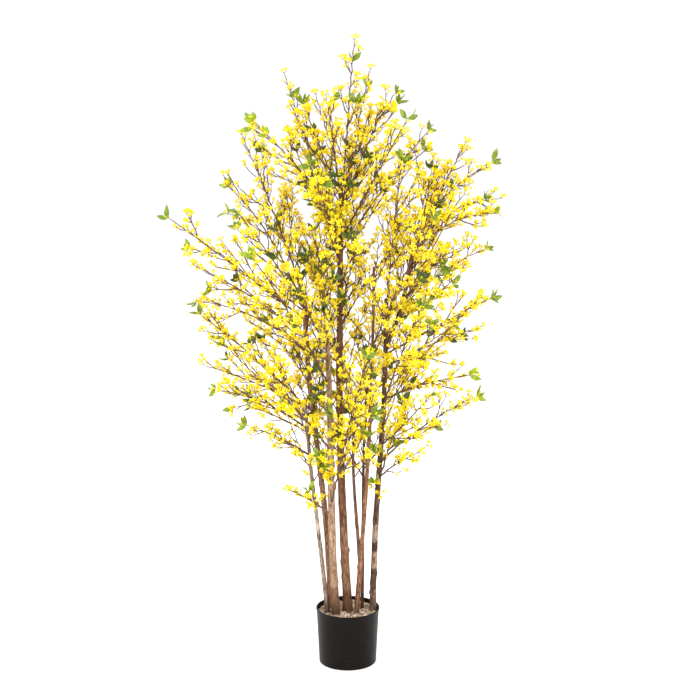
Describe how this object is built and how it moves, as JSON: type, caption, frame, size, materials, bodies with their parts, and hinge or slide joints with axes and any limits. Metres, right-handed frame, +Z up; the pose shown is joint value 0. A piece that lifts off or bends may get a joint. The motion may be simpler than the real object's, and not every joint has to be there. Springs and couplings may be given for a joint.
{
  "type": "artificial forsythia shrub",
  "caption": "Tall artificial forsythia with natural wood stems in a plain black pot, its upright crown covered in yellow blossom with bunches of green leaves.",
  "frame": {"origin": "middle of the pot's flat underside", "axes": "+Z up along the stems; +X to the viewer's right and -Y towards the viewer when the shrub is seen from its front"},
  "size_m": [0.9723, 0.7662, 1.8029],
  "materials": {
    "pot": "satin black",
    "gravel": "rough",
    "pale_wood": "natural bark",
    "dark_wood": "natural bark",
    "blossom": "matt cloth petals"
  },
  "bodies": {
    "root": {"pot": "pot", "gravel_fill": "gravel", "stem_main": "dark_wood", "stem_pale": "pale_wood", "stem_brown": "dark_wood", "stem_grey": "pale_wood", "stem_forked": "dark_wood", "stem_dark": "dark_wood", "stem_right": "pale_wood", "bough_fork": "dark_wood", "bough_right": "dark_wood", "spray_front_01": "blossom", "spray_front_02": "blossom", "spray_front_03": "blossom", "spray_front_04": "blossom", "spray_front_05": "blossom", "spray_front_06": "blossom", "spray_front_07": "blossom", "spray_front_08": "blossom", "spray_inner_01": "blossom", "spray_inner_02": "blossom", "spray_inner_03": "blossom", "spray_inner_04": "blossom", "spray_inner_05": "blossom", "spray_inner_06": "blossom", "spray_inner_07": "blossom", "spray_inner_08": "blossom", "spray_inner_09": "blossom", "spray_left_01": "blossom", "spray_left_02": "blossom", "spray_left_03": "blossom", "spray_left_04": "blossom", "spray_left_05": "blossom", "spray_left_06": "blossom", "spray_left_07": "blossom", "spray_left_08": "blossom", "spray_left_09": "blossom", "spray_left_10": "blossom", "spray_left_11": "blossom", "spray_left_12": "blossom", "spray_right_01": "blossom", "spray_right_02": "blossom", "spray_right_03": "blossom", "spray_right_04": "blossom", "spray_right_05": "blossom", "spray_right_06": "blossom", "spray_right_07": "blossom", "spray_right_08": "blossom", "spray_right_09": "blossom", "spray_right_10": "blossom", "spray_right_11": "blossom", "spray_right_12": "blossom", "spray_top_01": "blossom", "spray_top_02": "blossom", "spray_top_03": "blossom", "spray_top_04": "blossom", "spray_top_05": "blossom", "spray_top_06": "blossom", "spray_top_07": "blossom", "spray_top_08": "blossom"}
  },
  "joints": []
}
